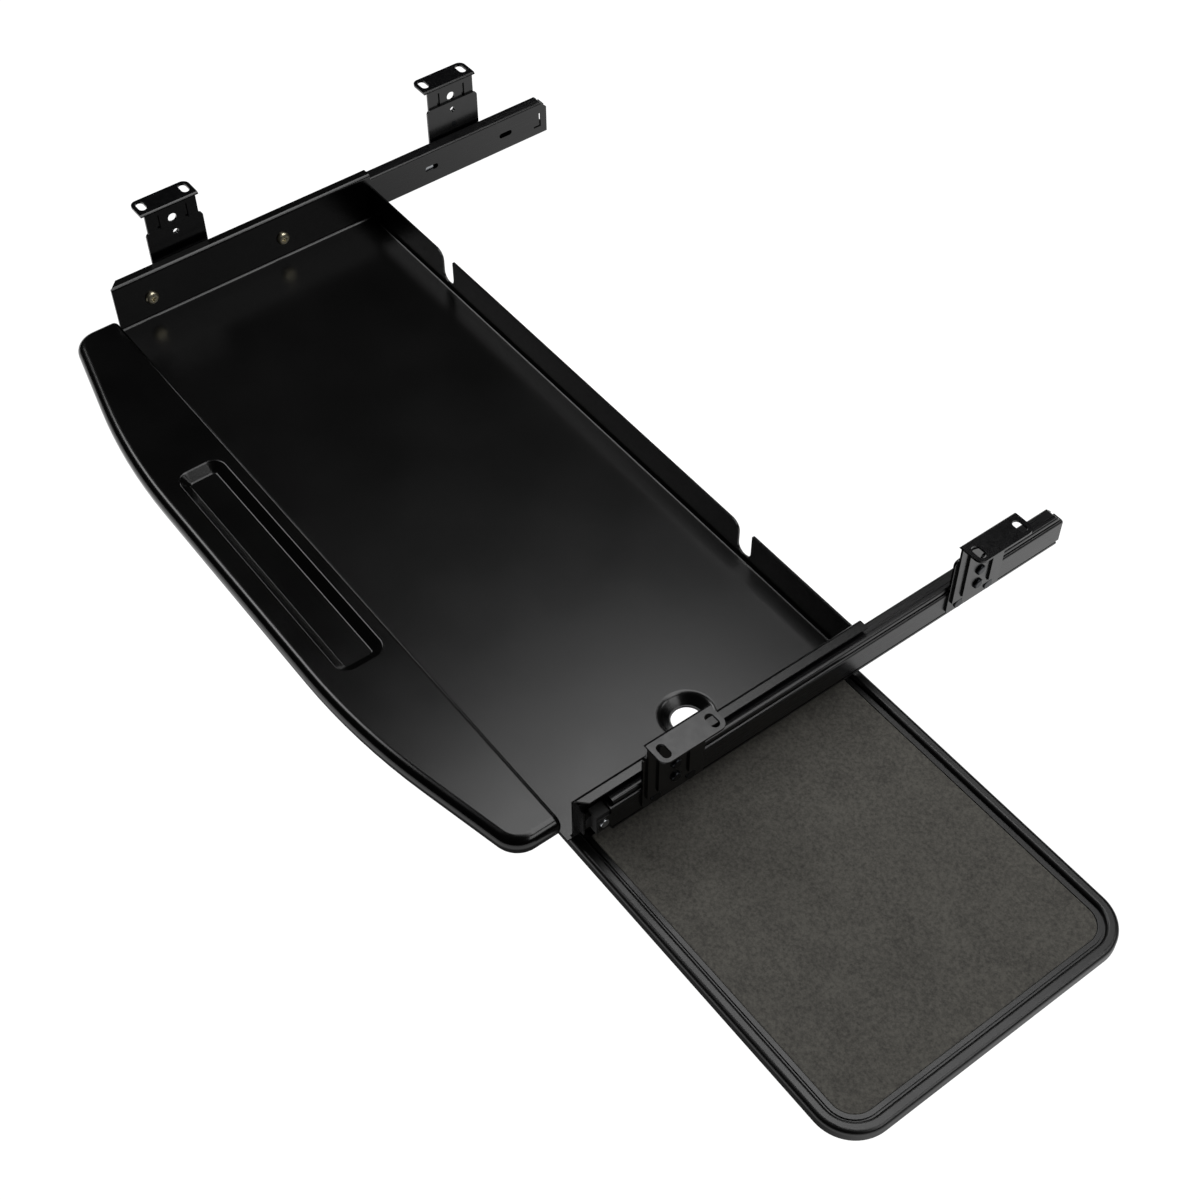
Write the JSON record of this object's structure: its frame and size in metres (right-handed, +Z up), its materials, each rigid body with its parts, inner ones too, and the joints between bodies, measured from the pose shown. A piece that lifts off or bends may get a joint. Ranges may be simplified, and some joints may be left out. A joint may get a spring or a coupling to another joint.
{
  "type": "under-desk keyboard tray",
  "caption": "Shallow steel keyboard tray on ball slides hung from desk brackets, with a swept palm rest and a mouse tray that slides out on the right.",
  "frame": {"origin": "middle of the four bracket flanges, on the plane that bears on the underside of the desk", "axes": "+X to the user's right, +Y towards the back of the desk, +Z up into the desk"},
  "size_m": [0.7598, 0.4171, 0.0855],
  "materials": {
    "tray_coat": "black powder coat, low sheen",
    "bracket_coat": "black powder coat, satin",
    "slide_steel": "black plated rolled steel, satin",
    "bright_steel": "zinc plated",
    "ball_steel": "polished",
    "brassed_steel": "yellow zinc plated",
    "bumper_rubber": "matt",
    "palm_plastic": "fine moulded satin gloss",
    "pan_plastic": "moulded satin",
    "pad_cloth": "dark mottled cloth on foam",
    "stop_nylon": "matt"
  },
  "bodies": {
    "desk_brackets": {"bracket_front_left": "bracket_coat", "bracket_rear_left": "bracket_coat", "bracket_front_right": "bracket_coat", "bracket_rear_right": "bracket_coat", "hanger_front_left": "bracket_coat", "hanger_rear_left": "bracket_coat", "hanger_front_right": "bracket_coat", "hanger_rear_right": "bracket_coat", "left_runner": "slide_steel", "left_bumper": "bumper_rubber", "left_bumper_rivet": "bright_steel", "left_hanger_rivets": "bracket_coat", "left_bracket_screws": "bracket_coat", "right_runner": "slide_steel", "right_bumper": "bumper_rubber", "right_bumper_rivet": "bright_steel", "right_hanger_rivets": "bracket_coat", "right_bracket_screws": "bracket_coat"},
    "tray": {"keyboard_tray": "tray_coat", "palm_rest": "palm_plastic", "palm_rest_screws": "bright_steel", "guide_stops": "stop_nylon", "left_channel": "slide_steel", "left_slide_screws": "brassed_steel", "right_channel": "slide_steel", "right_slide_screws": "brassed_steel", "mouse_guide_front": "bright_steel", "mouse_guide_rear": "bright_steel"},
    "mouse": {"mouse_tray": "pan_plastic", "mouse_pad": "pad_cloth", "mouse_bar_front": "bright_steel", "mouse_bar_rear": "bright_steel", "mouse_bar_screws": "bright_steel"},
    "left_cage": {"left_ball_retainer": "bright_steel", "left_balls": "ball_steel"},
    "right_cage": {"right_ball_retainer": "bright_steel", "right_balls": "ball_steel"}
  },
  "joints": [
    {"name": "tray_slide", "type": "slide", "parent": "desk_brackets", "child": "tray", "axis": [0, -1, 0], "range_m": [0, 0.175]},
    {"name": "left_cage_slide", "type": "slide", "parent": "desk_brackets", "child": "left_cage", "axis": [0, -1, 0], "range_m": [0, 0.0875]},
    {"name": "right_cage_slide", "type": "slide", "parent": "desk_brackets", "child": "right_cage", "axis": [0, -1, 0], "range_m": [0, 0.0875]},
    {"name": "mouse_slide", "type": "slide", "parent": "tray", "child": "mouse", "axis": [1, 0, 0], "range_m": [-0.216, 0]}
  ],
  "couplings": [
    {"joint": "left_cage_slide", "follows": "tray_slide", "ratio": 0.5},
    {"joint": "right_cage_slide", "follows": "tray_slide", "ratio": 0.5}
  ]
}
